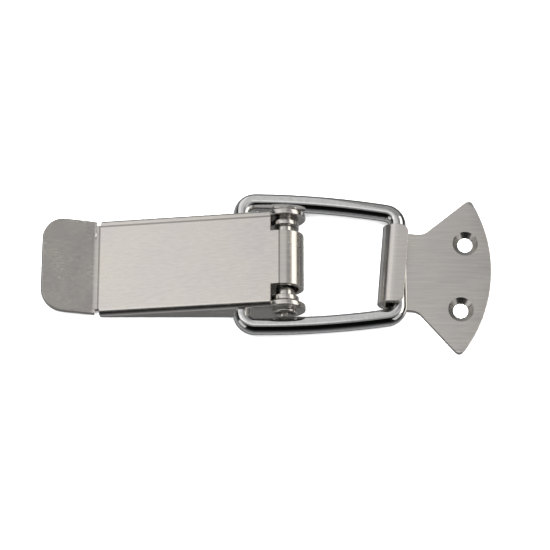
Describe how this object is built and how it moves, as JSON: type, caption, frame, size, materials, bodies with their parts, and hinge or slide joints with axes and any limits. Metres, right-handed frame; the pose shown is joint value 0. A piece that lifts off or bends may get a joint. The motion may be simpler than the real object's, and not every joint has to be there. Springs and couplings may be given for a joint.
{
  "type": "toggle bolt latch",
  "caption": "Stainless toggle latch, closed: sloping channel lever with upturned finger tab, riveted base, bowed wire bail and fishtail keeper plate with a curled hook.",
  "frame": {"origin": "middle of the base plate's underside, on the panel that the latch is screwed to", "axes": "+X from the finger tab to the keeper, +Y across the latch, +Z away from the panel"},
  "size_m": [0.1023, 0.0373, 0.0098],
  "materials": {
    "satin_stainless": "fine satin grain, lightly tumbled edges",
    "polished_wire": "bright drawn and polished wire",
    "bright_rivet": "bright turned and peened"
  },
  "bodies": {
    "base": {"base_plate": "satin_stainless"},
    "lever": {"lever": "satin_stainless", "hinge_rivet": "bright_rivet"},
    "bail": {"bail": "polished_wire"},
    "keeper": {"keeper": "satin_stainless"}
  },
  "joints": [
    {"name": "lever_swing", "type": "hinge", "parent": "base", "child": "lever", "pos_m": [0.01798, 0, 0.005], "axis": [0, 1, 0], "range_deg": [0, 165]},
    {"name": "bail_swing", "type": "hinge", "parent": "lever", "child": "bail", "pos_m": [0.00829, 0, 0.00449], "axis": [0, 1, 0], "range_deg": [-165, 0]},
    {"name": "keeper_slide", "type": "slide", "parent": "bail", "child": "keeper", "axis": [0.9962, -0.0872, 0], "range_m": [-0.014, 0]}
  ],
  "couplings": [
    {"joint": "bail_swing", "follows": "lever_swing", "ratio": -1}
  ]
}
